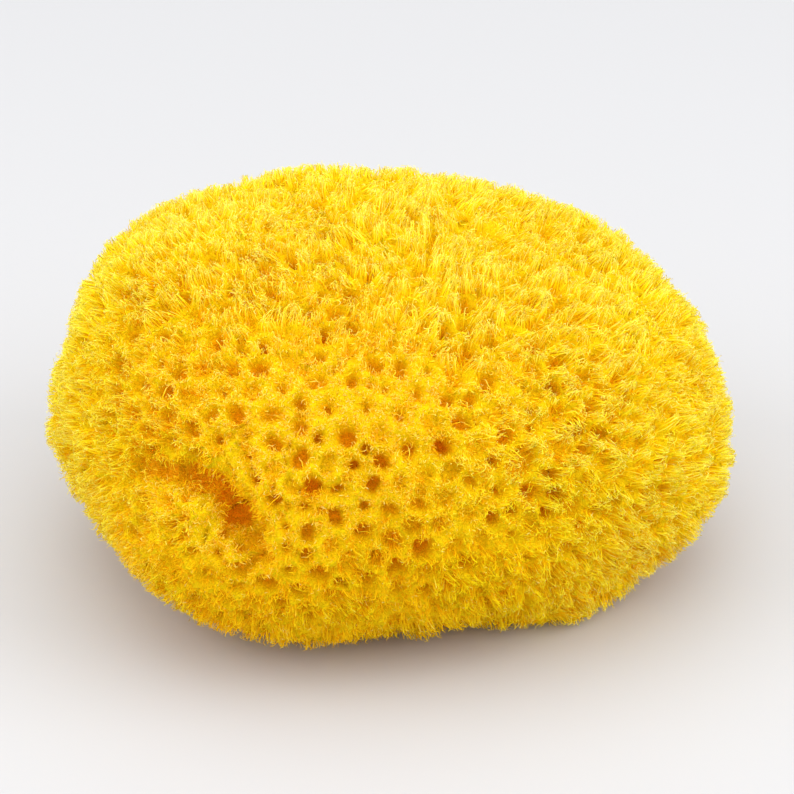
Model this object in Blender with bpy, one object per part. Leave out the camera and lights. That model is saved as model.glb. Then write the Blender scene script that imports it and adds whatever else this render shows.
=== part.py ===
"""A natural bath sponge: one rounded body, covered all over in pores, resting on the flat cut where it was
taken from the rock. Metres, +Z up, with the origin at the middle of the box's underside."""

import bmesh
import bpy
import numpy as np

# How far the body reaches from its middle, in metres
REACH_LEFT = 0.0560
REACH_RIGHT = 0.0683
REACH_FRONT = 0.0577
REACH_BACK = 0.0560
REACH_TOP = 0.0378
REACH_UNDER = 0.0385
FULLNESS = 2.2  # 2 is an ellipsoid, and more is boxier
MIDDLE_HEIGHT = 0.031  # the middle above the cut
CUT_ROUNDING = 0.004  # the cut's rim is rounded over this height

# Broad swellings and hollows: heading and elevation in degrees, width in degrees, height in metres.
# Heading 0 is the front (-Y), 90 the right (+X), and -90 the left.
SWELLINGS = {
    "upper_left_shoulder": (-66, 42, 24, 0.0084),
    "shoulder_corner": (-112, 34, 16, 0.0030),
    "left_end": (-88, -10, 18, 0.0033),
    "right_end": (82, -18, 22, 0.0060),
    "front_belly": (-20, -10, 28, 0.0050),
    "upper_right_slope": (86, 38, 24, -0.0046),
    "lower_right_lip": (54, -36, 14, 0.0064),
    "crown": (-160, 62, 18, 0.0022),
    "back_right_bulge": (140, 5, 24, 0.0030),
    "back_left_bulge": (-142, -6, 22, 0.0025),
    "back_hollow": (178, 18, 16, -0.0025),
    "folded_knob": (-28, -2, 9, 0.0022),
    "left_notch": (-90, 10, 4, -0.0014),
}

# Folds in the surface: (heading, elevation) in degrees along each, half width and depth in metres at its two ends
FOLDS = {
    "fold_over_knob": (
        [(-41, 7.5), (-36.5, 9.5), (-31, 10), (-25.5, 9.3), (-22, 7), (-20, 4)],
        (0.0022, 0.0034),
        (0.0026, 0.0068),
    ),
    "fold_beside_knob": ([(-39, 2.5), (-39.5, -2), (-37, -6)], (0.0022, 0.0020), (0.0026, 0.0014)),
    "fold_right_of_knob": ([(-17.5, 2), (-16, -0.5), (-18, -4)], (0.0024, 0.0020), (0.0040, 0.0020)),
    "fold_at_back": ([(150, 24), (163, 20), (174, 22), (184, 17)], (0.0022, 0.0030), (0.0024, 0.0052)),
    "fold_on_top": ([(-132, 64), (-107, 73), (-34, 77)], (0.0024, 0.0024), (0.0026, 0.0016)),
}

LUMPS = 150  # small lumps and hollows spread over the whole body
LUMP_WIDTH = (6.0, 11.0)  # degrees
LUMP_HEIGHT = 0.0008  # metres, up or down

# Pores: each is a pit in the middle of its own cell, and the cells' walls stand up round it
PORE_SPACING = 0.0039  # least distance between two pores
PORE_DEPTH = (0.0024, 0.0040)  # least and most, for the ordinary pores
WALL_ROUGHNESS = 0.00035  # how unevenly the tufts on the cell walls stand
OPEN_PORES_IN_CUT = 0.45  # share of the cells on the cut that are open
CLOSED_MIDDLE = 0.006  # those this near the cut's middle are all closed
# The widest pores of the front: heading, elevation, depth
WIDE_PORES = [
    (-6.6, 11.6, 0.0052),
    (-2.2, 20.5, 0.0044),
    (-10.0, 16.8, 0.0042),
    (-35.9, 18.7, 0.0038),
    (-17.5, 12.4, 0.0040),
    (-13.4, 8.1, 0.0042),
    (-1.6, 6.4, 0.0040),
    (-3.2, 0.9, 0.0040),
    (4.2, 11.8, 0.0038),
    (10.1, 17.0, 0.0036),
    (15.8, 7.1, 0.0038),
    (-23.9, -15.5, 0.0036),
    (-8.9, -6.9, 0.0038),
    (-23.5, 22.7, 0.0036),
    (11.8, -2.2, 0.0038),
]
CANDIDATES = 60000
SEED = 11

SPONGE_COLOUR = (0.86, 0.56, 0.02, 1.0)
SPONGE_ROUGHNESS = 0.95


def clear_scene():
    for old in list(bpy.data.objects):
        bpy.data.objects.remove(old)


def heading(azimuth, elevation):
    """The unit direction from the body's middle."""
    a = np.radians(azimuth)
    e = np.radians(elevation)
    return np.array([np.sin(a) * np.cos(e), -np.cos(a) * np.cos(e), np.sin(e)])


def even_directions(count):
    """Unit directions spread evenly along a spiral from pole to pole."""
    index = np.arange(count) + 0.5
    polar = np.arccos(1 - 2 * index / count)
    turn = np.pi * (1 + 5**0.5) * index
    return np.stack([np.cos(turn) * np.sin(polar), np.sin(turn) * np.sin(polar), np.cos(polar)], 1)


def small_lumps(random):
    """(directions, widths in radians, heights) of the lumps."""
    middles = random.normal(size=(LUMPS, 3))
    middles /= np.linalg.norm(middles, axis=1)[:, None]
    widths = np.radians(random.uniform(*LUMP_WIDTH, LUMPS))
    return middles, widths, random.uniform(-LUMP_HEIGHT, LUMP_HEIGHT, LUMPS)


def bumps(directions, middles, widths, heights):
    """The sum of round swellings at each direction."""
    angle = np.arccos(np.clip(directions @ middles.T, -1, 1))
    return np.exp(-((angle / widths) ** 2)) @ heights


def fold_depth(directions, radius, path, half_widths, depths):
    """How deep a fold is at each direction: it runs along the path, and its width and depth change evenly."""
    points = np.array([heading(*p) for p in path])
    steps = len(points) - 1
    nearest = np.full(len(directions), np.inf)
    along = np.zeros(len(directions))
    for i in range(steps):
        start = points[i]
        run = points[i + 1] - start
        t = np.clip((directions - start) @ run / (run @ run), 0, 1)
        away = np.linalg.norm(directions - start - t[:, None] * run, axis=1) * radius
        closer = away < nearest
        nearest = np.where(closer, away, nearest)
        along = np.where(closer, (i + t) / steps, along)
    half_width = half_widths[0] + (half_widths[1] - half_widths[0]) * along
    depth = depths[0] + (depths[1] - depths[0]) * along
    return depth * np.exp(-((nearest / half_width) ** 2))


def fold_pores():
    """Directions along the folds, a pore spacing apart, so that a row of pores lies at the bottom of each."""
    row = []
    for path, _, _ in FOLDS.values():
        corners = np.array([heading(*p) for p in path])
        lengths = np.linalg.norm(np.diff(corners, axis=0), axis=1) * REACH_LEFT
        travelled = np.concatenate([[0], np.cumsum(lengths)])
        count = int(travelled[-1] / PORE_SPACING) + 1
        for place in np.linspace(0, travelled[-1], count):
            row.append([np.interp(place, travelled, corners[:, k]) for k in range(3)])
    row = np.array(row)
    return row / np.linalg.norm(row, axis=1)[:, None]


def body_points(directions, lumps, raised=0.0):
    """The body's surface in each direction, with everything below the cut brought up to it."""
    reach = np.where(
        directions > 0,
        [REACH_RIGHT, REACH_BACK, REACH_TOP],
        [REACH_LEFT, REACH_FRONT, REACH_UNDER],
    )
    radius = ((np.abs(directions / reach) ** FULLNESS).sum(axis=1)) ** (-1 / FULLNESS)
    swellings = np.array(list(SWELLINGS.values()))
    middles = np.array([heading(a, e) for a, e in swellings[:, :2]])
    radius = radius + bumps(directions, middles, np.radians(swellings[:, 2]), swellings[:, 3])
    radius = radius + bumps(directions, *lumps)
    folds = sum(fold_depth(directions, radius, *fold) for fold in FOLDS.values())
    points = directions * (radius - folds + raised)[:, None]
    height = points[:, 2] + MIDDLE_HEIGHT
    rounded = (height + CUT_ROUNDING) ** 2 / (4 * CUT_ROUNDING)
    points[:, 2] = np.where(
        height < -CUT_ROUNDING, 0.0, np.where(height < CUT_ROUNDING, rounded, height)
    )
    return points


def chosen_pores(directions, points, first):
    """Indices of directions whose points stay a pore spacing apart, taken in order, the first ones always."""
    kept = []
    cells = {}
    for index, point in enumerate(points):
        cell = tuple((point // PORE_SPACING).astype(int))
        around = [
            near
            for x in (-1, 0, 1)
            for y in (-1, 0, 1)
            for z in (-1, 0, 1)
            for near in cells.get((cell[0] + x, cell[1] + y, cell[2] + z), ())
        ]
        if index >= first and around:
            gaps = np.linalg.norm(points[around] - point, axis=1)
            if gaps.min() < PORE_SPACING:
                continue
        kept.append(index)
        cells.setdefault(cell, []).append(index)
    return np.array(kept)


def hull_triangles(directions):
    """The triangles that join neighbouring directions, each listed once, as indices."""
    mesh = bmesh.new()
    for i, direction in enumerate(directions):
        mesh.verts.new(direction).index = i
    bmesh.ops.convex_hull(mesh, input=mesh.verts, use_existing_faces=False)
    mesh.verts.ensure_lookup_table()
    triangles = []
    for face in mesh.faces:
        corners = [v.index for v in face.verts]
        a, b, c = (directions[i] for i in corners)
        if np.cross(b - a, c - a) @ (a + b + c) < 0:
            corners.reverse()
        triangles.append(corners)
    mesh.free()
    return np.array(triangles)


def cell_faces(triangles, pore_count):
    """Faces of the pitted surface. Vertex i is pore i's floor, and vertex pore_count + t is triangle t's wall
    corner. Each pair of neighbouring pores shares one stretch of wall, which bounds a face of each."""
    wall_at = {}
    for t, corners in enumerate(triangles):
        for k in range(3):
            wall_at[(corners[k], corners[(k + 1) % 3])] = pore_count + t
    faces = []
    for (a, b), left in wall_at.items():
        faces.append((a, wall_at[(b, a)], left))
    return faces


def sponge_material():
    material = bpy.data.materials.new("sponge_yellow")
    material.use_nodes = True
    shader = material.node_tree.nodes["Principled BSDF"]
    shader.inputs["Base Color"].default_value = SPONGE_COLOUR
    shader.inputs["Roughness"].default_value = SPONGE_ROUGHNESS
    shader.inputs["Metallic"].default_value = 0.0
    material.diffuse_color = SPONGE_COLOUR
    return material


def make_sponge():
    random = np.random.default_rng(SEED)
    lumps = small_lumps(random)
    wide = np.array([heading(a, e) for a, e, _ in WIDE_PORES])
    folded = fold_pores()
    spread = even_directions(CANDIDATES)
    random.shuffle(spread)
    directions = np.concatenate([wide, folded, spread])
    kept = chosen_pores(directions, body_points(directions, lumps), len(wide) + len(folded))
    pores = directions[kept]
    triangles = hull_triangles(pores)

    walls = pores[triangles].sum(axis=1)
    walls /= np.linalg.norm(walls, axis=1)[:, None]
    unevenness = random.normal(0, WALL_ROUGHNESS, len(walls))
    wall_points = body_points(walls, lumps, unevenness)

    rims = body_points(pores, lumps)
    depth = random.uniform(*PORE_DEPTH, len(pores))
    depth[: len(wide)] = [d for _, _, d in WIDE_PORES]
    depth[len(wide) : len(wide) + len(folded)] = PORE_DEPTH[0]
    on_cut = rims[:, 2] <= 0.0
    closed = random.random(len(pores)) > OPEN_PORES_IN_CUT
    closed |= np.linalg.norm(rims[:, :2], axis=1) < CLOSED_MIDDLE
    depth[on_cut & closed] = 0.0
    floors = rims - pores * depth[:, None]

    mesh = bpy.data.meshes.new("sponge")
    points = np.concatenate([floors, wall_points])
    middle = (points[:, :2].max(axis=0) + points[:, :2].min(axis=0)) / 2
    points[:, :2] -= middle
    mesh.from_pydata(points.tolist(), [], cell_faces(triangles, len(pores)))
    mesh.validate()
    mesh.materials.append(sponge_material())
    sponge = bpy.data.objects.new("sponge", mesh)
    bpy.context.scene.collection.objects.link(sponge)
    return sponge


def main():
    clear_scene()
    make_sponge()


main()
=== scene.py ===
"""A natural bath sponge: the pitted body, and the fibres that stand on it in tufts between its pores.

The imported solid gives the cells. Its pits are the pores, and its wall edges are as high as the tufts reach.
"""

import bpy
import numpy as np
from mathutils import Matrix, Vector


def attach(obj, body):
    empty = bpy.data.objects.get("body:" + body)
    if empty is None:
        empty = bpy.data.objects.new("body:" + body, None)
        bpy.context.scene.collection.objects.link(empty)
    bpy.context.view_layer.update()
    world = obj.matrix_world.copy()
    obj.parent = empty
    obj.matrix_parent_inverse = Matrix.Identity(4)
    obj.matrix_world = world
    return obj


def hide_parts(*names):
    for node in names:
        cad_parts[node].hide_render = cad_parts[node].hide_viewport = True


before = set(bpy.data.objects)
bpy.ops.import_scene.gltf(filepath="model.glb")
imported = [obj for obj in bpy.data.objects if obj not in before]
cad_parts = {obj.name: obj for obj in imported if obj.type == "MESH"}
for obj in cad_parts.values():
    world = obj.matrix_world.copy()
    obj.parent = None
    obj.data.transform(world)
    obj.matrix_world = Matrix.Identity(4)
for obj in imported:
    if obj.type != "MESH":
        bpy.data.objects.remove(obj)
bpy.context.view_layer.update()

MM = 0.001
random = np.random.default_rng(5)
MIDDLE = np.array((-6.3, 2.6, 31.0)) * MM  # headings are taken from here: (azimuth, elevation) in degrees

# The cells of the solid
WELD = 0.001 * MM
LEAST_PIT = 1.2 * MM  # a point this far below its neighbours is a pore's floor
CUT_TOP = 3.0 * MM  # the flat cut fades into the fuzzy sides over this height
CUT_EVENED = 0.8  # how much shallower the pores, smoother the body and sparser the fibres are on the cut
CUT_WALLS_EVENED = 0.9  # the same for the dips in the walls

# The front is felted: its tufts are short and its pores lie open. Elsewhere the tufts stand like brushes.
FELT_MIDDLE = (-11, 7)
FELT_RADIUS = 60  # mm from the middle
FELT_WIDTH = 37  # degrees
FELT_EDGE = 3  # the higher, the sharper
FELT_UNEVEN = 9  # degrees, in or out at its edge
UNEVEN_SCALE = 3  # for the smoothed random numbers, which are small

# The body's surface, as depths below the reach of the fibre tips: where felted, and where brushy
RINGS = 4  # rings of points round each pore
TUFT_DEPTH = (1.0 * MM, 1.8 * MM)  # of the tufts' solid roots, at the wall corners
TUFT_DEPTH_SPREAD = (0.75, 1.25)
SADDLE_DIP = (0.4 * MM, 0.8 * MM)  # further down between two tufts
SADDLE_SPREAD = (0.4, 1.5)
SLOPE_DEPTH = (1.7 * MM, 2.8 * MM)
RIM_DEPTH = (2.5 * MM, 3.8 * MM)
PORE_DEPTH = (1.1 * MM, 2.4 * MM)  # of the shallowest and the deepest pores, below their rims
FLOOR_DISH = 0.4 * MM  # how much higher a pore's floor is at its edge than in its middle
CUT_DEPTH = 0.3 * MM
BODY_ROUGHNESS = 0.12 * MM
RELIEF = 0.25  # how unevenly deep the brushes stand
MOST_UNEVEN = 1.5  # standard deviations
DARKEST = 8.0 * MM  # the depth with the darkest painted shade
BRUSH_LIGHTENING = 0.3  # how much paler than the open pores the body is between the brushes, with less of the painted shade

# Pores
PIT_RANGE = (2.2 * MM, 4.0 * MM)  # depths of the shallowest and the deepest of the ordinary pits
PORE_RADIUS = (0.50 * MM, 1.25 * MM)  # of their pores
PORE_SPREAD = (0.7, 1.4)
WIDEST_PORE = 1.7 * MM
WIDEST_SHARE = 0.66  # of the way from a pore's middle to the wall round it
PORE_LENGTHENED = 1.0  # the longest pores are this much longer than wide
FLOOR_EDGE = 0.8  # where the floor ends and where the rim lies, as shares of the pore's radius
RIM_EDGE = 1.15
CLOSED_PORES = (0.20, 0.85)  # shares that are grown over, where felted and where brushy
CLOSED_DEPTH = 0.4 * MM
NEVER_CLOSED = 0.9  # share of PIT_RANGE from which the pores always lie open
OPEN_WALLS = 0.14  # share of the walls that sink, so that two pores join
OPEN_WALL_DIP = 1.3 * MM

# Creases and the largest pore: headings along each, then half width and depth at its two ends, and how far
# the fibres over it hang down across it, all in mm
CREASES = [
    ([(-43, 6.5), (-41, 8), (-36.5, 9.5), (-31, 10), (-25.5, 9.3), (-22, 7), (-20, 4)],
     (0.8, 1.5), (1.8, 3.8), 1.3),
    ([(-39, 2.5), (-39.5, -2), (-37, -6)], (1.0, 0.8), (1.2, 0.4), 0.6),
    ([(-17.5, 2), (-16, -0.5), (-18, -4)], (1.2, 1.0), (2.0, 1.2), 0.4),
    ([(-7.3, 11.6), (-6.0, 11.7)], (1.7, 1.5), (3.2, 2.8), 0.3),
]
CREASE_FLOOR = 2.2 * MM  # where the pores and tufts are smoothed away
UPPER_SIDE = 0.55  # shares of the half width
LOWER_SIDE = 1.1
BARE = 0.85  # share of the fibres in a crease that are missing
HANG_REACH = 1.6  # how far round a crease its fibres hang, in half widths, and this much more
HANG_MORE = 0.6 * MM
HANG_SINK = 0.3  # mm inwards
HANG_WAY = 0.1  # only fibres from which the way to its line leads down, or almost level, hang
HANG_FROM = 0.3  # half widths
HANG_BEND = 1.5  # the higher, the nearer to their ends they bend
CREASE_EDGE = 1.1  # half widths, where its few fibres end
LAID_LOW = 0.25  # the height that is left to the few fibres in a crease

# Tufts
TUFT_LEAN = 1.0 * MM
TUFTS_JOINED = 0.75  # how far the tufts lean to their leader's place
JOINING_SPREAD = (0.6, 1.2)
TUFT_HEIGHT = (-2.4 * MM, 0.5 * MM)
TALL_TUFTS = 0.6  # the lower, the more of the tufts are tall
FELT_TUFTS = 0.25  # how uneven in height the felted tufts are, as a share of the brushes
DRIFT = 1.2 * MM  # how far whole groups of brushes lean one way
DRIFT_SMOOTHINGS = 4
PARTING = 1.5 * MM  # how far the brushes lean away from the felted front

# Fibres
FIBRES = 154000
PATH_POINTS = 5  # of the longest fibres
FIBRE_WIDTH = (0.13 * MM, 0.23 * MM)
ROOT_SUNK = 0.3 * MM
LEAST_RING = 0.48  # the fibres round an open pore root from about here outwards: 0 is its middle, 1 the wall
LEAST_RING_SPREAD = 0.14
CLUMPING = (0.30, 0.75)  # how far the fibres' ends are drawn to their tuft's top
FELT_CLUMPING = 0.45  # share of that where felted
TIP_SCATTER = 0.36 * MM
TIP_SHORT = 1.5 * MM
TIP_SHORTNESS = 1.6  # the higher, the fewer fibres are much shorter
CUT_SCATTER = 0.4 * MM
BEND_AT = 0.55  # of the way from root to end
BOW = 0.30 * MM
CURL = (0.40 * MM, 0.90 * MM)
CURL_SCATTER = 0.6
CURL_DOWN = 0.5
CURL_CLOSING = 0.8  # the second part of a curl against the first
STANDING = {"straight": 0.24, "hooked": 0.42, "curly": 0.34}  # shares, with 3, 4 and 5 points
LYING = (0.62, 0.30)  # share of the fibres that lie along the body, where felted and where brushy
LYING_STEP = (0.20 * MM, 0.42 * MM)
LYING_LIFT = (0.2, 1.1)
LYING_TURN = 0.55
LYING_TURN_SPREAD = (0.3, 1.6)
LYING_WOBBLE = 0.5
LYING_SUNK = 0.1  # mm
LYING_FLATNESS = 0.6  # the lower, the flatter these ribbons lie
ACROSS = 0.02  # share of those beside a pore that reach over it
ACROSS_FROM = 0.25  # how near the pore they root: 0 is the wall, 1 the pore's middle
ACROSS_LENGTH = (0.8, 1.6)  # of the way to the pore's middle
ACROSS_LIFT = 0.5  # mm, half way across
ACROSS_KINKS = 0.10 * MM
RIBBON_TAPER = 0.6  # width left before the point
FIBRE_LOWEST = 0.02 * MM  # above the floor

# Fibre colour: how far each goes from orange at its root to golden, and how cream its end is. The orange low
# down is partly painted shade, and the extra cream on the top and at the two ends is painted light.
FELT_DULLING = 0.80  # how much less the fibres pale towards their ends where felted
SHADING = 0.7  # painted shade: the same for its fibres that root deep down, as in a pore, and for those that face down
SHADE_FROM = 1.4 * MM
SHADE_OVER = 2.2 * MM
# painted shade begins on fibres that face less up than this
DOWNWARD = 0.15
PALE_FROM = 0.4  # of the way up the fibre
TINT = 0.02
BRUSH_TINT = 0.03  # more where brushy
PAINTED_LIGHT_TINT = 0.75  # painted light: more on the top and at the two ends
ENDS_FROM = 0.5  # where the ends begin: 0 is the middle of the length, 1 the ends themselves
ENDS_OVER = 0.625
TINT_SPREAD = (0.3, 1.3)
BLEACHED = 0.04  # share of the fibres, and more in the same places; the more on the top and at the two ends is painted light
BRUSH_BLEACHED = 0.06
# painted light: more fully cream fibres on the top and at the two ends
PAINTED_LIGHT_SHARE = 0.50
BLEACHED_OR_LIT_TINT = (0.4, 1)
LYING_TINT = 0.6
FUZZ_PIECES = ("front", "front_right", "back_right", "back_left", "front_left")


def unit(vectors):
    return vectors / np.maximum(np.linalg.norm(vectors, axis=-1, keepdims=True), 1e-12)


def heading(azimuth, elevation):
    a, e = np.radians((azimuth, elevation))
    return np.array([np.sin(a) * np.cos(e), -np.cos(a) * np.cos(e), np.sin(e)])


def between(limits, share):
    return limits[0] + (limits[1] - limits[0]) * share


def mesh_arrays(node):
    """The node's points and triangles, with points at one place made one."""
    mesh = node.data
    mesh.calc_loop_triangles()
    points = np.empty(len(mesh.vertices) * 3, np.float32)
    mesh.vertices.foreach_get("co", points)
    triangles = np.empty(len(mesh.loop_triangles) * 3, np.int32)
    mesh.loop_triangles.foreach_get("vertices", triangles)
    points = points.reshape(-1, 3).astype(float)
    _, first, place = np.unique(np.round(points / WELD), axis=0, return_index=True, return_inverse=True)
    triangles = place.reshape(-1)[triangles].reshape(-1, 3)
    distinct = (triangles != np.roll(triangles, 1, axis=1)).all(axis=1)
    return points[first], triangles[distinct]


def point_normals(points, triangles):
    a, b, c = points[triangles].transpose(1, 0, 2)
    across = np.cross(b - a, c - a)
    total = np.zeros_like(points)
    for k in range(3):
        np.add.at(total, triangles[:, k], across)
    return unit(total)


def neighbour_means(values, pairs, count):
    """The mean of the values at each point's neighbours."""
    total = np.zeros((count,) + values.shape[1:])
    number = np.zeros(count)
    for one, other in ((0, 1), (1, 0)):
        np.add.at(total, pairs[:, one], values[pairs[:, other]])
        np.add.at(number, pairs[:, one], 1)
    return total / number.reshape((-1,) + (1,) * (values.ndim - 1))


def wall_pairs(triangles):
    """Each pair of joined points once, and which pair lies across from each triangle's first point."""
    sides = np.concatenate([triangles[:, [1, 2]], triangles[:, [2, 0]], triangles[:, [0, 1]]])
    sides = np.sort(sides, axis=1)
    pairs, place = np.unique(sides, axis=0, return_inverse=True)
    return pairs, place.reshape(3, -1)


def tangent_directions(normal):
    """A random direction along the surface for each normal."""
    loose = random.normal(0, 1, normal.shape)
    return unit(loose - (loose * normal).sum(axis=1)[:, None] * normal)


# Cells: every triangle joins a pore's floor (its first corner) to one stretch of the wall round it
corners, cells = mesh_arrays(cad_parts["sponge"])
count = len(corners)
pairs, _ = wall_pairs(cells)
means = neighbour_means(corners, pairs, count)
below = ((means - corners) * point_normals(corners, cells)).sum(axis=1)
is_pit = below > LEAST_PIT
turn = np.argmax(is_pit[cells], axis=1)
cells = np.take_along_axis(cells, (turn[:, None] + np.arange(3)) % 3, axis=1)
has_pore = is_pit[cells[:, 0]]
pairs, pair_at = wall_pairs(cells)
wall_of = pair_at[0]

lids = np.where(is_pit[:, None], means, corners)  # the reach of the tips, with every pit closed over
normals = point_normals(lids, cells)
on_cut = np.clip(1 - lids[:, 2] / CUT_TOP, 0, 1) * np.clip(-normals[:, 2] * 2, 0, 1)
uneven = neighbour_means(neighbour_means(random.normal(0, 1, count), pairs, count), pairs, count)
from_felt = np.degrees(np.arccos(np.clip(unit(lids - MIDDLE) @ heading(*FELT_MIDDLE), -1, 1)))
from_felt = np.maximum(from_felt + uneven * FELT_UNEVEN * UNEVEN_SCALE, 0)
brushy = 1 - np.exp(-((from_felt / FELT_WIDTH) ** FELT_EDGE))

tuft_depth = between(TUFT_DEPTH, brushy) * random.uniform(*TUFT_DEPTH_SPREAD, count)
tuft_depth = tuft_depth * (1 - on_cut) + CUT_DEPTH * on_cut
pair_brushy = brushy[pairs].mean(axis=1)
wall_dip = between(SADDLE_DIP, pair_brushy) * random.uniform(*SADDLE_SPREAD, len(pairs))
wall_dip += OPEN_WALL_DIP * (random.random(len(pairs)) < OPEN_WALLS)
wall_dip *= 1 - CUT_WALLS_EVENED * on_cut[pairs].mean(axis=1)
deepness = np.clip((below - PIT_RANGE[0]) / (PIT_RANGE[1] - PIT_RANGE[0]), 0, 2)
pore_radius = between(PORE_RADIUS, deepness) * random.uniform(*PORE_SPREAD, count)
pore_radius = np.minimum(pore_radius, WIDEST_PORE)
pore_long = random.uniform(0, PORE_LENGTHENED, count)
pore_axis = tangent_directions(normals)
relief = np.clip(uneven / uneven.std(), -MOST_UNEVEN, MOST_UNEVEN)
rim_scale = (1 - CUT_EVENED * on_cut) * (1 + RELIEF * brushy * relief)
rim_depth = between(RIM_DEPTH, brushy) * rim_scale
slope_depth = between(SLOPE_DEPTH, brushy) * rim_scale
closed = (random.random(count) < between(CLOSED_PORES, brushy)) & (deepness < NEVER_CLOSED)
pore_floor = rim_depth + np.where(closed, CLOSED_DEPTH, between(PORE_DEPTH, np.clip(deepness, 0, 1)))

# Tufts: each leans towards the leader among its neighbours, so that several make one brush
standing = random.random(count) * ~is_pit
leader = np.arange(count)
for one, other in (pairs.T, pairs.T[::-1]):
    order = np.argsort(standing[other])
    led = one[order]
    better = standing[other[order]] > standing[leader[led]]
    leader[led[better]] = other[order][better]
joined = (TUFTS_JOINED * brushy * random.uniform(*JOINING_SPREAD, count))[:, None]
tuft_height = between(TUFT_HEIGHT, random.random(count) ** TALL_TUFTS)[leader]
tuft_height = tuft_height * (FELT_TUFTS + (1 - FELT_TUFTS) * brushy)
tuft_top = lids * (1 - joined) + lids[leader] * joined + normals * tuft_height[:, None]
tuft_top += tangent_directions(normals) * (TUFT_LEAN * random.random(count))[:, None]
drift = random.normal(0, 1, (count, 3))
for _ in range(DRIFT_SMOOTHINGS):
    drift = neighbour_means(drift, pairs, count)
drift *= DRIFT / drift.std()
drift += unit(lids - MIDDLE - heading(*FELT_MIDDLE) * FELT_RADIUS * MM) * PARTING
drift -= (drift * normals).sum(axis=1)[:, None] * normals
tuft_top += drift * brushy[:, None]


def between_rings(ring, values):
    """Reads the values, one column for each ring, at the ring coordinate: 0 is the floor, 1 the wall."""
    place = np.clip(ring * RINGS, 0, RINGS - 1e-9)
    low = place.astype(int)
    part = place - low
    rows = np.arange(len(ring))
    return values[rows, low] * (1 - part) + values[rows, low + 1] * part


def from_crease(points, path):
    """How far the points are from a crease's line, how far along it (0 to 1), and which way it is."""
    offset = points - MIDDLE
    radius = np.linalg.norm(offset, axis=1)
    line = np.array([heading(*p) for p in path])
    steps = len(line) - 1
    away = np.full(len(points), np.inf)
    along = np.zeros(len(points))
    way = np.zeros((len(points), 3))
    for i in range(steps):
        run = line[i + 1] - line[i]
        start = offset / radius[:, None] - line[i]
        t = np.clip(start @ run / (run @ run), 0, 1)
        gap = t[:, None] * run - start
        distance = np.linalg.norm(gap, axis=1) * radius
        closer = distance < away
        away = np.where(closer, distance, away)
        along = np.where(closer, (i + t) / steps, along)
        way = np.where(closer[:, None], gap, way)
    return away, along, unit(way)


def crease_half_width(half_widths, far, way):
    """Half a crease's width. Its upper side, where the way to its line leads down, is the steeper one."""
    return between(half_widths, far) * MM * np.where(way[:, 2] < 0, UPPER_SIDE, LOWER_SIDE)


def on_body(cell, weights):
    """The tips' reach, the normal and the body's depth below that reach, at places in the cells."""
    floor, left, right = cells[cell].T
    ring = 1 - weights[:, 0]
    along = weights[:, 2] / np.maximum(weights[:, 1] + weights[:, 2], 1e-9)
    side = along[:, None]
    wall = lids[left] * (1 - side) + lids[right] * side
    wall_normal = normals[left] * (1 - side) + normals[right] * side
    outward = wall - lids[floor]
    width = np.linalg.norm(outward, axis=1)
    lengthened = 1 + pore_long[floor] * (unit(outward) * pore_axis[floor]).sum(axis=1) ** 2
    share = np.clip(pore_radius[floor] * lengthened / width, 0, WIDEST_SHARE)
    pore = has_pore[cell]
    even = np.linspace(0, 1, RINGS + 1) * np.ones((len(cell), 1))
    middle = 0.55 + 0.5 * share  # of the slope from the rim up to the wall
    steps = np.stack([0 * share, FLOOR_EDGE * share, RIM_EDGE * share, middle, 0 * share + 1], axis=1)
    reach = between_rings(ring, np.where(pore[:, None], steps, even))[:, None]
    dip = wall_dip[wall_of[cell]] * 4 * along * (1 - along)
    wall_depth = tuft_depth[left] * (1 - along) + tuft_depth[right] * along + dip
    slope = 0.5 * (slope_depth[floor] + wall_depth)
    deepest = pore_floor[floor]
    levels = np.stack([deepest, deepest - FLOOR_DISH, rim_depth[floor], slope, wall_depth], axis=1)
    flat = np.stack([tuft_depth[floor]] * RINGS + [wall_depth], axis=1)
    depth = between_rings(ring, np.where(pore[:, None], levels, flat))
    place = lids[floor] * (1 - reach) + wall * reach
    normal = unit(normals[floor] * (1 - reach) + wall_normal * reach)
    for path, half_widths, depths, _ in CREASES:
        away, far, way = from_crease(place, path)
        near = np.exp(-((away / crease_half_width(half_widths, far, way)) ** 2))
        depth = depth * (1 - near) + (CREASE_FLOOR + between(depths, far) * MM) * near
    return place, normal, depth


def ring_grid():
    """Splits each cell into RINGS x RINGS triangles. Returns the points' cells and weights, and the faces."""
    number = len(cells)
    steps = [(i, j, RINGS - i - j) for i in range(RINGS + 1) for j in range(RINGS + 1 - i)]
    at = {step: k for k, step in enumerate(steps)}
    weights = np.array(steps, float) / RINGS
    keys = []
    for step in steps:
        used = [k for k in range(3) if step[k] > 0]
        if len(used) == 1:
            keys.append((cells[:, used[0]], np.full(number, -1), np.zeros(number, int)))
        elif len(used) == 2:
            one, other = cells[:, used[0]], cells[:, used[1]]
            share = np.where(one < other, step[used[0]], step[used[1]])
            keys.append((np.minimum(one, other), np.maximum(one, other), share))
        else:
            keys.append((np.full(number, -2), np.arange(number), np.full(number, at[step])))
    keys = np.array(keys).transpose(2, 0, 1).reshape(-1, 3)
    _, first, place = np.unique(keys, axis=0, return_index=True, return_inverse=True)
    place = place.reshape(number, len(steps))
    faces = []
    for i in range(RINGS):
        for j in range(RINGS - i):
            k = RINGS - i - j
            faces.append([at[(i + 1, j, k - 1)], at[(i, j + 1, k - 1)], at[(i, j, k)]])
            if k > 1:
                faces.append([at[(i + 1, j, k - 1)], at[(i + 1, j + 1, k - 2)], at[(i, j + 1, k - 1)]])
    faces = place[:, np.array(faces)].reshape(-1, 3)
    return first // len(steps), weights[first % len(steps)], faces


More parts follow.
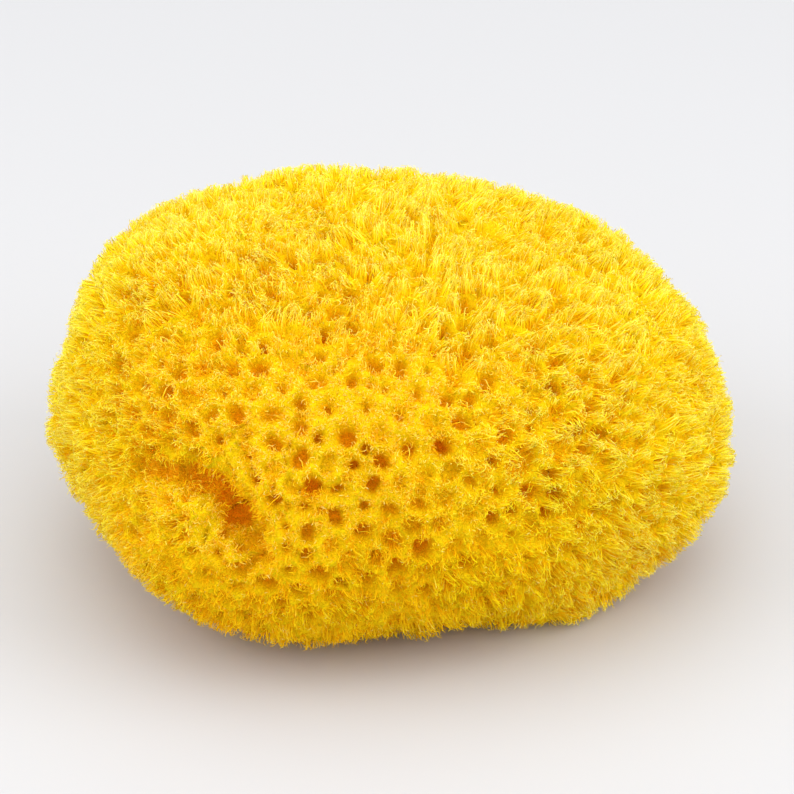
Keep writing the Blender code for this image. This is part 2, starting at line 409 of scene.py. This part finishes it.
def new_mesh(name, points, triangles, fields, material):
    """A smooth-shaded object of these triangles, with a named number at each point."""
    mesh = bpy.data.meshes.new(name)
    mesh.vertices.add(len(points))
    mesh.vertices.foreach_set("co", points.astype(np.float32).ravel())
    mesh.loops.add(len(triangles) * 3)
    mesh.loops.foreach_set("vertex_index", triangles.astype(np.int32).ravel())
    mesh.polygons.add(len(triangles))
    mesh.polygons.foreach_set("loop_start", np.arange(0, len(triangles) * 3, 3, dtype=np.int32))
    mesh.polygons.foreach_set("use_smooth", np.ones(len(triangles), bool))
    mesh.update(calc_edges=True)
    for field, values in fields.items():
        mesh.attributes.new(field, "FLOAT", "POINT").data.foreach_set("value", values.astype(np.float32))
    mesh.materials.append(material)
    piece = bpy.data.objects.new(name, mesh)
    bpy.context.scene.collection.objects.link(piece)
    return piece


# Materials
def new_material(name):
    material = bpy.data.materials.new(name)
    material.use_nodes = True
    nodes = material.node_tree.nodes
    return material, nodes, material.node_tree.links, nodes["Principled BSDF"]


def ramp(nodes, links, source, stops):
    node = nodes.new("ShaderNodeValToRGB")
    while len(node.color_ramp.elements) < len(stops):
        node.color_ramp.elements.new(0.5)
    for element, (place, colour) in zip(node.color_ramp.elements, stops):
        element.position = place
        element.color = (*colour, 1)
    links.new(source, node.inputs["Fac"])
    return node.outputs["Color"]


def attribute(nodes, name):
    node = nodes.new("ShaderNodeAttribute")
    node.attribute_name = name
    return node.outputs["Fac"]


def mixed(nodes, links, kind, factor, one, other):
    node = nodes.new("ShaderNodeMix")
    node.data_type = "RGBA"
    node.blend_type = kind
    for socket, value in ((node.inputs[0], factor), (node.inputs[6], one), (node.inputs[7], other)):
        if isinstance(value, bpy.types.NodeSocket):
            links.new(value, socket)
        else:
            socket.default_value = value
    return node.outputs[2]


def fibre_finish(shader):
    shader.inputs["Roughness"].default_value = 0.8
    shader.inputs["Specular IOR Level"].default_value = 0.08


def fuzz_material():
    material, nodes, links, shader = new_material("sponge_fibre")
    # Orange at the root to golden at the end: partly the fibres' own colour, partly painted shade low down
    golden = ramp(nodes, links, attribute(nodes, "rise"), [
        (0.00, (0.975, 0.59, 0.001)),
        (0.12, (0.97, 0.62, 0.001)),
        (0.26, (0.97, 0.76, 0.001)),
        (0.50, (0.98, 0.87, 0.001)),
        (0.75, (0.985, 0.905, 0.004)),
        (1.00, (0.99, 0.915, 0.030)),
    ])
    # Cream ends: some fibres' own colour, and painted light on the top and at the two ends
    colour = mixed(nodes, links, "MIX", attribute(nodes, "pale"), golden, (0.99, 0.925, 0.40, 1))
    links.new(colour, shader.inputs["Base Color"])
    fibre_finish(shader)
    return material


def threads(nodes, links, scale, turn):
    """Thin wandering lines, like the fibres matted on the body."""
    place = nodes.new("ShaderNodeMapping")
    place.inputs["Rotation"].default_value = turn
    links.new(nodes.new("ShaderNodeTexCoord").outputs["Object"], place.inputs["Vector"])
    noise = nodes.new("ShaderNodeTexNoise")
    noise.inputs["Scale"].default_value = scale
    noise.inputs["Detail"].default_value = 1
    noise.inputs["Distortion"].default_value = 1.2
    links.new(place.outputs["Vector"], noise.inputs["Vector"])
    band = [(0.44, (0, 0, 0)), (0.5, (1, 1, 1)), (0.56, (0, 0, 0))]
    return ramp(nodes, links, noise.outputs["Fac"], band)


def body_material():
    material, nodes, links, shader = new_material("sponge_body")
    # Painted shade: yellow where the body lies high, deep orange the deeper it lies, as in the pores and
    # creases
    colour = ramp(nodes, links, attribute(nodes, "depth"), [
        (0.00, (0.985, 0.76, 0.002)),
        (0.22, (0.985, 0.68, 0.001)),
        (0.40, (0.98, 0.57, 0.001)),
        (0.60, (0.975, 0.41, 0.001)),
        (1.00, (0.95, 0.28, 0.001)),
    ])
    coarse = threads(nodes, links, 900, (0, 0, 0))
    fine = threads(nodes, links, 1300, (1, 2, 0.5))
    lines = mixed(nodes, links, "LIGHTEN", 1.0, coarse, fine)
    gaps = ramp(nodes, links, lines, [(0.0, (0.98, 0.93, 0.9)), (1.0, (1, 1, 1))])
    shaded = mixed(nodes, links, "MULTIPLY", 1.0, colour, gaps)
    links.new(shaded, shader.inputs["Base Color"])
    bump = nodes.new("ShaderNodeBump")
    bump.inputs["Strength"].default_value = 0.7
    bump.inputs["Distance"].default_value = 0.25 * MM
    links.new(lines, bump.inputs["Height"])
    links.new(bump.outputs["Normal"], shader.inputs["Normal"])
    fibre_finish(shader)
    return material


def floor_material():
    material, nodes, links, shader = new_material("pale_floor")
    noise = nodes.new("ShaderNodeTexNoise")
    noise.inputs["Scale"].default_value = 3
    stops = [(0.3, (0.60, 0.605, 0.615)), (0.7, (0.62, 0.625, 0.635))]
    colour = ramp(nodes, links, noise.outputs["Fac"], stops)
    links.new(colour, shader.inputs["Base Color"])
    shader.inputs["Roughness"].default_value = 0.6
    shader.inputs["Specular IOR Level"].default_value = 0.2
    return material


# Body
def make_body():
    cell, weights, faces = ring_grid()
    place, normal, depth = on_body(cell, weights)
    low = np.clip(1 - place[:, 2] / CUT_TOP, 0, 1)
    rough = random.normal(0, BODY_ROUGHNESS, len(depth)) * (1 - CUT_EVENED * low)
    points = place - normal * (depth + rough)[:, None]
    points[:, 2] = np.maximum(points[:, 2], 0)
    # Painted shade, scaled down between the brushes
    lightened = 1 - BRUSH_LIGHTENING * (brushy[cells[cell]] * weights).sum(axis=1)
    body = new_mesh("sponge_body", points, faces, {"depth": depth / DARKEST * lightened}, body_material())
    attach(body, "root")
    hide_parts("sponge")
    return body


# Fibres
def fibre_roots():
    """Cells and weights of the roots: even over the surface, few on the cut, none in the open pores."""
    a, b, c = lids[cells].transpose(1, 0, 2)
    area = np.linalg.norm(np.cross(b - a, c - a), axis=1)
    area = area * (1 - CUT_EVENED * on_cut[cells].mean(axis=1))
    cell = random.choice(len(cells), FIBRES, p=area / area.sum())
    open_pore = has_pore[cell] & ~closed[cells[cell, 0]]
    least = np.where(open_pore, LEAST_RING + LEAST_RING_SPREAD * random.random(FIBRES), 0.0)
    ring = np.sqrt(least**2 + (1 - least**2) * random.random(FIBRES))
    along = random.random(FIBRES)
    return cell, np.stack([1 - ring, ring * (1 - along), ring * along], axis=1)


def standing_paths(root, reach, normal, cell, weights):
    """Five points of fibres that gather into tufts, from the root up. Some use only the first few."""
    number = len(cell)
    # Most fibres go to the nearer of the two tufts beside them
    nearer = random.random(number) < (weights[:, 2] / (weights[:, 1] + weights[:, 2]) - 0.5) * 2 + 0.5
    tuft = np.where(nearer, cells[cell, 2], cells[cell, 1])
    clump = random.uniform(*CLUMPING, number) * (FELT_CLUMPING + (1 - FELT_CLUMPING) * brushy[tuft])
    end = reach * (1 - clump[:, None]) + tuft_top[tuft] * clump[:, None]
    sideways = tangent_directions(normal) * np.abs(random.normal(0, 1, number))[:, None]
    shortened = TIP_SHORT * random.random(number) ** TIP_SHORTNESS
    end = end + sideways * TIP_SCATTER - normal * shortened[:, None]
    cut = on_cut[cells[cell]].mean(axis=1)[:, None]
    end = end * (1 - cut) + (reach + sideways * CUT_SCATTER) * cut
    bow = unit(random.normal(0, 1, (number, 3))) * BOW
    middle = root * (1 - BEND_AT) + end * BEND_AT + bow
    curl = unit(unit(sideways) + random.normal(0, CURL_SCATTER, (number, 3)))
    first = end + curl * random.uniform(*CURL, number)[:, None]
    swing = unit(np.cross(curl, normal) * random.choice([-1, 1], number)[:, None] - normal * CURL_DOWN)
    second = first + swing * random.uniform(*CURL, number)[:, None] * CURL_CLOSING
    return np.stack([root, middle, end, first, second], axis=1)


def lying_paths(root, normal):
    """Five points of fibres that curl along the body."""
    number = len(root)
    step = random.uniform(*LYING_STEP, number)[:, None]
    run = unit(tangent_directions(normal) + normal * random.uniform(*LYING_LIFT, number)[:, None])
    turn_axis = unit(normal + random.normal(0, LYING_WOBBLE, (number, 3)))
    turn_axis = turn_axis * random.choice([-1, 1], number)[:, None]
    turning = LYING_TURN * random.uniform(*LYING_TURN_SPREAD, number)[:, None]
    points = [root]
    for _ in range(PATH_POINTS - 1):
        points.append(points[-1] + run * step)
        run = unit(run + np.cross(turn_axis, run) * turning)
    return np.stack(points, axis=1)


def across_paths(root, normal, cell):
    """Five points of fibres that reach over the pore beside them."""
    number = len(root)
    centre = lids[cells[cell, 0]] - normal * (rim_depth[cells[cell, 0]] - FLOOR_DISH)[:, None]
    end = root + (centre - root) * random.uniform(*ACROSS_LENGTH, number)[:, None]
    shares = np.linspace(0, 1, PATH_POINTS)[None, :, None]
    line = root[:, None] * (1 - shares) + end[:, None] * shares
    lift = (4 * shares * (1 - shares)) * normal[:, None] * ACROSS_LIFT * MM
    return line + lift + random.normal(0, ACROSS_KINKS, line.shape) * (shares > 0)


def hang_over_creases(paths, normal):
    """Fibres above a crease hang down across it, and the few in it lie low. Also says which are missing."""
    bare = np.zeros(len(paths), bool)
    for path, half_widths, _, overhang in CREASES:
        away, far, way = from_crease(paths[:, 2], path)
        half = between(half_widths, far) * MM
        near = np.exp(-((away / (half * HANG_REACH + HANG_MORE)) ** 2))
        over = (way[:, 2] < HANG_WAY) & (away > HANG_FROM * half)
        root_away, root_far, root_way = from_crease(paths[:, 0], path)
        inside = root_away < crease_half_width(half_widths, root_far, root_way) * CREASE_EDGE
        bend = np.linspace(0, 1, PATH_POINTS)[None, :, None] ** HANG_BEND
        hang = (way * overhang - normal * HANG_SINK) * MM * near[:, None]
        paths = paths + hang[:, None] * bend * (over & ~inside)[:, None, None]
        low = paths[:, :1] + (paths - paths[:, :1]) * LAID_LOW
        paths = np.where(inside[:, None, None], low, paths)
        bare |= inside & (random.random(len(paths)) < BARE)
    return paths, bare


def ribbon_mesh(paths, width, facing):
    """Tapered ribbons along the paths, each narrowed to a point at its end."""
    number, steps, _ = paths.shape
    run = np.empty_like(paths)
    run[:, 0] = paths[:, 1] - paths[:, 0]
    run[:, -1] = paths[:, -1] - paths[:, -2]
    run[:, 1:-1] = paths[:, 2:] - paths[:, :-2]
    across = unit(np.cross(unit(run), facing[:, None]))
    taper = np.linspace(1, RIBBON_TAPER, steps)[None, :-1, None]
    half = across[:, :-1] * taper * width[:, None, None] / 2
    pairs_of_points = np.stack([paths[:, :-1] - half, paths[:, :-1] + half], axis=2)
    points = np.concatenate([pairs_of_points.reshape(number, -1, 3), paths[:, -1:]], axis=1)
    faces = []
    for step in range(steps - 2):
        a = step * 2
        faces += [[a, a + 1, a + 3], [a, a + 3, a + 2]]
    last = (steps - 2) * 2
    faces.append([last, last + 1, last + 2])
    triangles = np.array(faces)[None] + np.arange(number)[:, None, None] * points.shape[1]
    rise = np.concatenate([np.repeat(np.linspace(0, 1, steps)[:-1], 2), [1.0]])
    return points.reshape(-1, 3), triangles.reshape(-1, 3), np.tile(rise, number)


def make_fuzz():
    cell, weights = fibre_roots()
    reach, normal, depth = on_body(cell, weights)
    body = reach - normal * depth[:, None]
    root = body - normal * ROOT_SUNK
    felted = 1 - brushy[cells[cell, 1]]
    # Painted shade: fibres rooted deep in felted pores, and those facing down, stay more orange
    sunk = np.clip((depth - SHADE_FROM) / SHADE_OVER, 0, 1)
    shaded = np.maximum(felted * sunk, np.clip(DOWNWARD - normal[:, 2], 0, 1))
    kind = random.choice(len(STANDING), FIBRES, p=list(STANDING.values())) + 3
    paths = standing_paths(root, reach, normal, cell, weights)
    lying = random.random(FIBRES) < between(LYING[::-1], felted)
    paths[lying] = lying_paths(body[lying] - normal[lying] * LYING_SUNK * MM, normal[lying])
    kind[lying] = random.choice([4, 5], lying.sum())
    open_pore = has_pore[cell] & ~closed[cells[cell, 0]]
    across = open_pore & (weights[:, 0] > ACROSS_FROM) & (random.random(FIBRES) < ACROSS)
    paths[across] = across_paths(body[across], normal[across], cell[across])
    kind[across] = PATH_POINTS
    paths, bare = hang_over_creases(paths, normal)
    kind[bare] = 0

    width = random.uniform(*FIBRE_WIDTH, FIBRES)
    facing = unit(random.normal(0, 1, (FIBRES, 3)))
    facing[lying] = unit(normal[lying] + facing[lying] * LYING_FLATNESS)
    # Painted light: paler cream ends on fibres that face up and on those at the two ends
    upward = np.clip(normal[:, 2], 0, 1)
    outward = np.clip((np.abs(unit(reach - MIDDLE)[:, 0]) - ENDS_FROM) / ENDS_OVER, 0, 1)
    painted_light_edge = np.maximum(upward, outward)
    tint = (TINT + BRUSH_TINT * (1 - felted) + PAINTED_LIGHT_TINT * painted_light_edge) * random.uniform(*TINT_SPREAD, FIBRES)
    bleached_or_lit = random.random(FIBRES) < BLEACHED + BRUSH_BLEACHED * (1 - felted) + PAINTED_LIGHT_SHARE * painted_light_edge
    tint[bleached_or_lit] = random.uniform(*BLEACHED_OR_LIT_TINT, bleached_or_lit.sum())
    tint[lying & ~bleached_or_lit] *= LYING_TINT
    # Painted shade: fibres that root deep down lose their cream ends
    tint *= 1 - np.where(lying, sunk, felted * sunk)
    azimuth = np.arctan2(reach[:, 0] - MIDDLE[0], MIDDLE[1] - reach[:, 1])
    sector = np.argsort(np.argsort((azimuth + np.pi / len(FUZZ_PIECES)) % (2 * np.pi)))
    sector = sector * len(FUZZ_PIECES) // FIBRES
    material = fuzz_material()
    for number, name in enumerate(FUZZ_PIECES):
        points, triangles, rises, pales = [], [], [], []
        total = 0
        for steps in (3, 4, 5):
            chosen = (sector == number) & (kind == steps)
            at, faces, rise = ribbon_mesh(paths[chosen, :steps], width[chosen], facing[chosen])
            points.append(at)
            triangles.append(faces + total)
            per = len(rise) // chosen.sum()
            dulling = (1 - FELT_DULLING * felted[chosen]) * (1 - SHADING * shaded[chosen])
            rises.append(rise * np.repeat(dulling, per))
            paling = np.clip((rise - PALE_FROM) / (1 - PALE_FROM), 0, 1)
            pales.append(paling * np.repeat(tint[chosen], per))
            total += len(at)
        points = np.concatenate(points)
        points[:, 2] = np.maximum(points[:, 2], FIBRE_LOWEST)
        fields = {"rise": np.concatenate(rises), "pale": np.concatenate(pales)}
        fuzz = new_mesh("fuzz_" + name, points, np.concatenate(triangles), fields, material)
        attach(fuzz, "root")


# Studio
LIGHT_COLOUR = (1.0, 0.99, 0.98)


def make_floor():
    mesh = bpy.data.meshes.new("floor")
    size = 3.0
    square = [(-size, -size, 0), (size, -size, 0), (size, size, 0), (-size, size, 0)]
    mesh.from_pydata(square, [], [(0, 1, 2, 3)])
    mesh.materials.append(floor_material())
    floor = bpy.data.objects.new("floor", mesh)
    bpy.context.scene.collection.objects.link(floor)


def add_light(name, place, size, watts):
    light = bpy.data.lights.new(name, "AREA")
    light.shape = "DISK"
    light.size = size
    light.energy = watts
    light.color = LIGHT_COLOUR
    lamp = bpy.data.objects.new(name, light)
    lamp.location = place
    lamp.rotation_euler = (Vector((0, 0, 0.03)) - Vector(place)).to_track_quat("-Z", "Y").to_euler()
    bpy.context.scene.collection.objects.link(lamp)


def make_light():
    world = bpy.data.worlds.new("studio")
    world.use_nodes = True
    background = world.node_tree.nodes["Background"]
    background.inputs["Color"].default_value = (0.98, 0.98, 1.0, 1)
    background.inputs["Strength"].default_value = 0.82
    bpy.context.scene.world = world
    add_light("softbox_front", (0.0, -0.7, 0.9), 1.2, 2.0)
    add_light("softbox_overhead", (0.0, 0.12, 1.1), 1.4, 4.6)
    add_light("softbox_left", (-0.9, -0.25, 0.6), 1.0, 4.6)
    add_light("softbox_right", (0.9, -0.25, 0.6), 1.0, 5.2)
    bpy.context.scene.view_settings.view_transform = "Standard"
    # Light scatters many times between the pale fibres, and each time turns more golden
    bpy.context.scene.cycles.max_bounces = 14
    bpy.context.scene.cycles.diffuse_bounces = 10


def make_camera():
    aim = Vector((1.2, 2.7, 29.8)) * MM
    elevation = np.radians(28)
    distance = 0.55
    camera = bpy.data.objects.new("camera", bpy.data.cameras.new("camera"))
    camera.data.lens = 131
    camera.data.sensor_width = 36
    camera.location = aim + Vector((0, -np.cos(elevation), np.sin(elevation))) * distance
    camera.rotation_euler = (np.pi / 2 - elevation, 0, 0)
    bpy.context.scene.collection.objects.link(camera)
    bpy.context.scene.camera = camera


make_body()
make_fuzz()
make_floor()
make_light()
make_camera()
